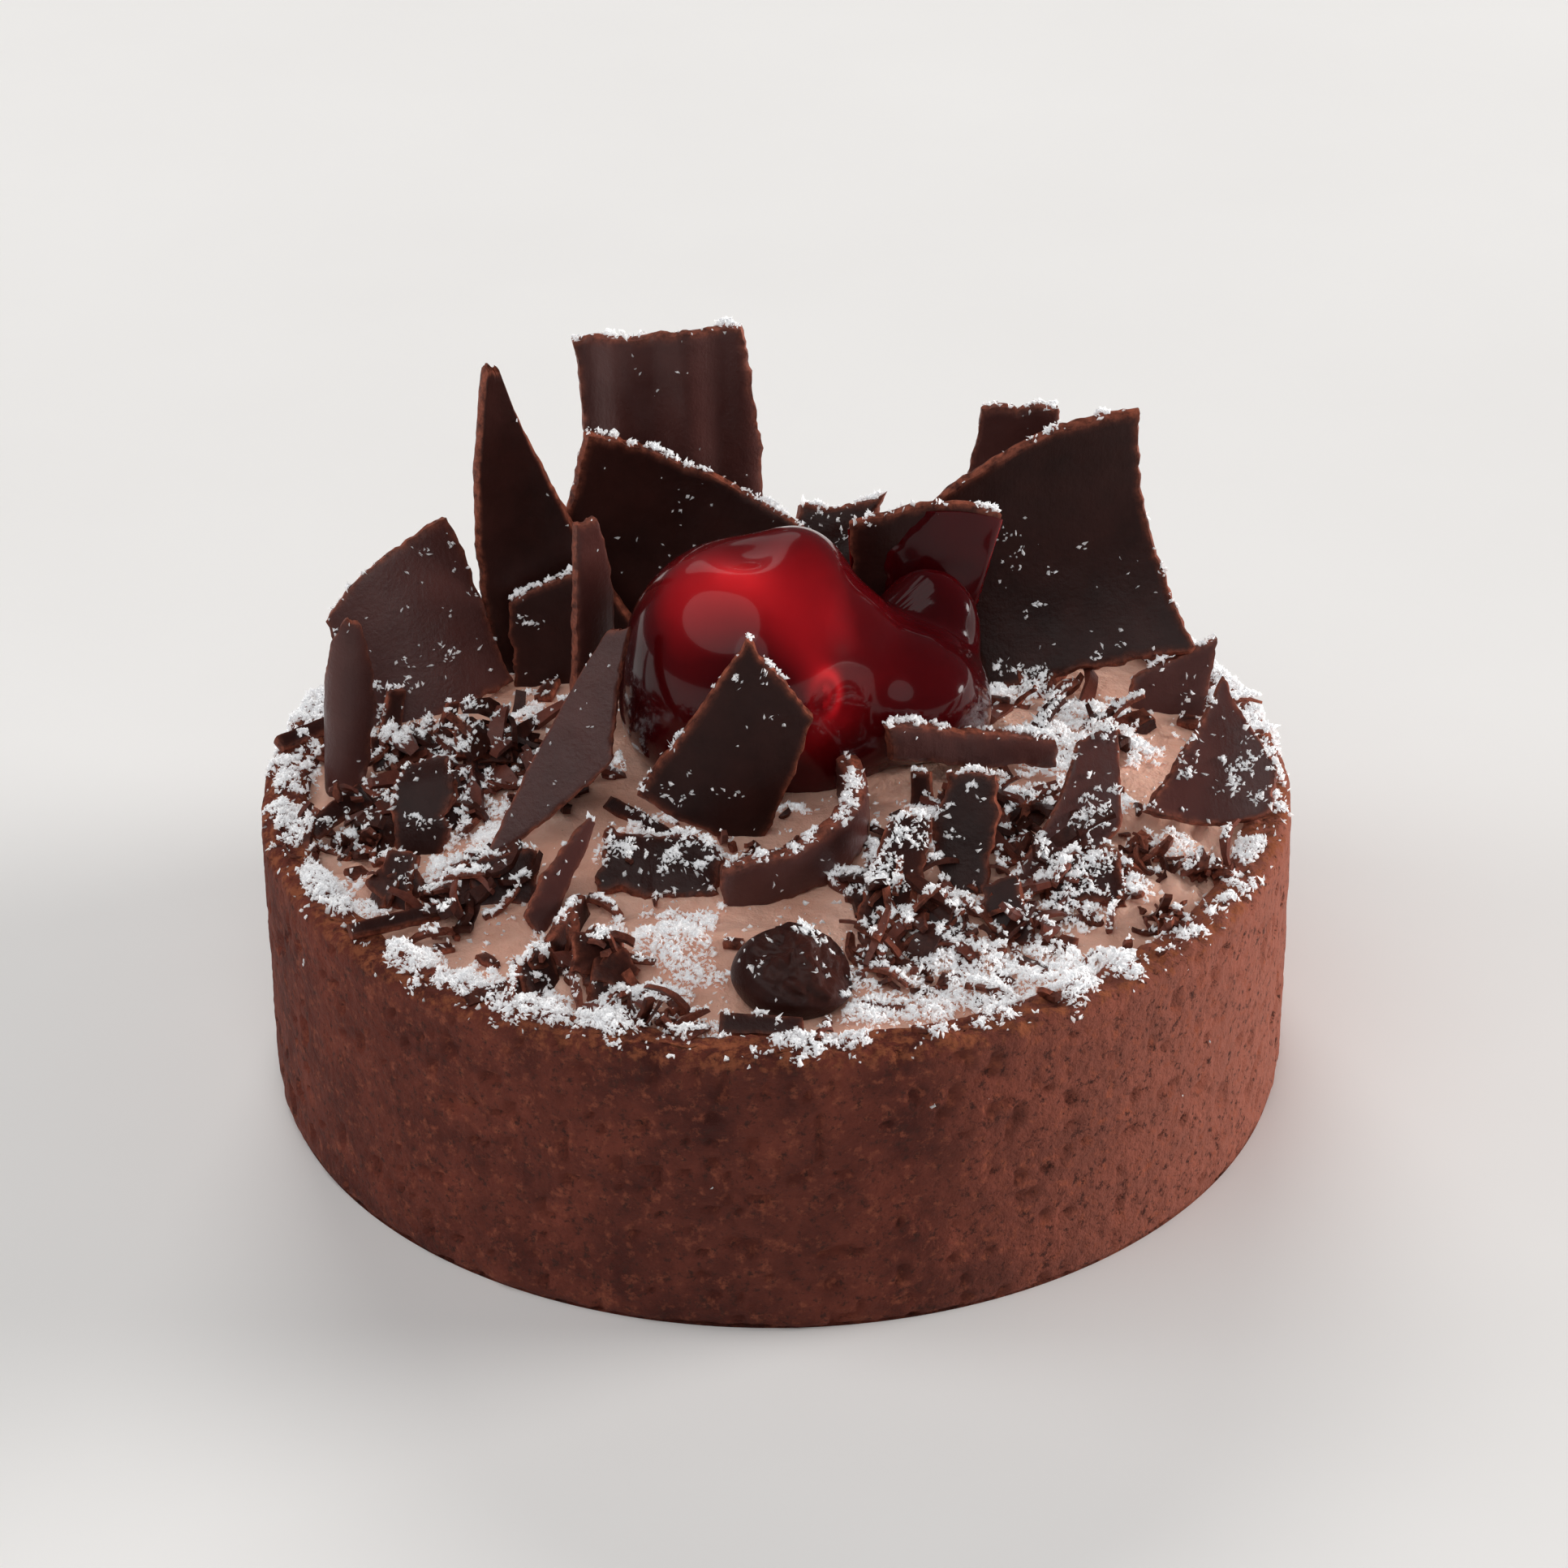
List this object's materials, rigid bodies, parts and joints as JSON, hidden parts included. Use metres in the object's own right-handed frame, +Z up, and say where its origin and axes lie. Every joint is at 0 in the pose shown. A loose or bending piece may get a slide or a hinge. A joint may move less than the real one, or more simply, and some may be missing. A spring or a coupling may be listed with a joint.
{
  "type": "black forest tart",
  "caption": "Small round cocoa tart with a straight crust, chocolate cream filling, a glazed cherry and upright shards of dark chocolate.",
  "frame": {"origin": "centre of the tart's flat underside", "axes": "+Z up out of the filling, -Y towards the front, where the cherry shows between the shards"},
  "size_m": [0.0698, 0.0698, 0.0438],
  "materials": {
    "crust": "matte, fine-pored baked cocoa pastry",
    "cream": "soft satin chocolate cream",
    "chocolate": "satin dark chocolate",
    "cherry": "wet, clear red glaze"
  },
  "bodies": {
    "root": {"block_front": "chocolate", "block_middle": "chocolate", "block_right": "chocolate", "cherry": "cherry", "chip_cherry": "chocolate", "chip_front": "chocolate", "chip_left_a": "chocolate", "chip_left_b": "chocolate", "chip_left_c": "chocolate", "chip_left_d": "chocolate", "cream": "cream", "crust": "crust", "curl_front": "chocolate", "curl_left": "chocolate", "drop_front": "chocolate", "shard_back_low": "chocolate", "shard_back_tall": "chocolate", "shard_blade_front": "chocolate", "shard_blade_left": "chocolate", "shard_dark_right": "chocolate", "shard_front": "chocolate", "shard_front_right": "chocolate", "shard_glazed": "chocolate", "shard_left_dark": "chocolate", "shard_left_fold": "chocolate", "shard_left_inner": "chocolate", "shard_left_near": "chocolate", "shard_left_round": "chocolate", "shard_left_wide": "chocolate", "shard_right_back": "chocolate", "shard_right_big": "chocolate", "shard_right_end": "chocolate", "shard_right_front": "chocolate", "shard_right_low": "chocolate", "shard_right_small": "chocolate", "shard_spike": "chocolate", "shard_twist": "chocolate", "shard_wedge": "chocolate", "splinter_front": "chocolate", "stick_back": "chocolate", "stick_front": "chocolate", "stick_left": "chocolate", "stick_middle": "chocolate", "stick_right": "chocolate", "stick_rim": "chocolate"}
  },
  "joints": []
}
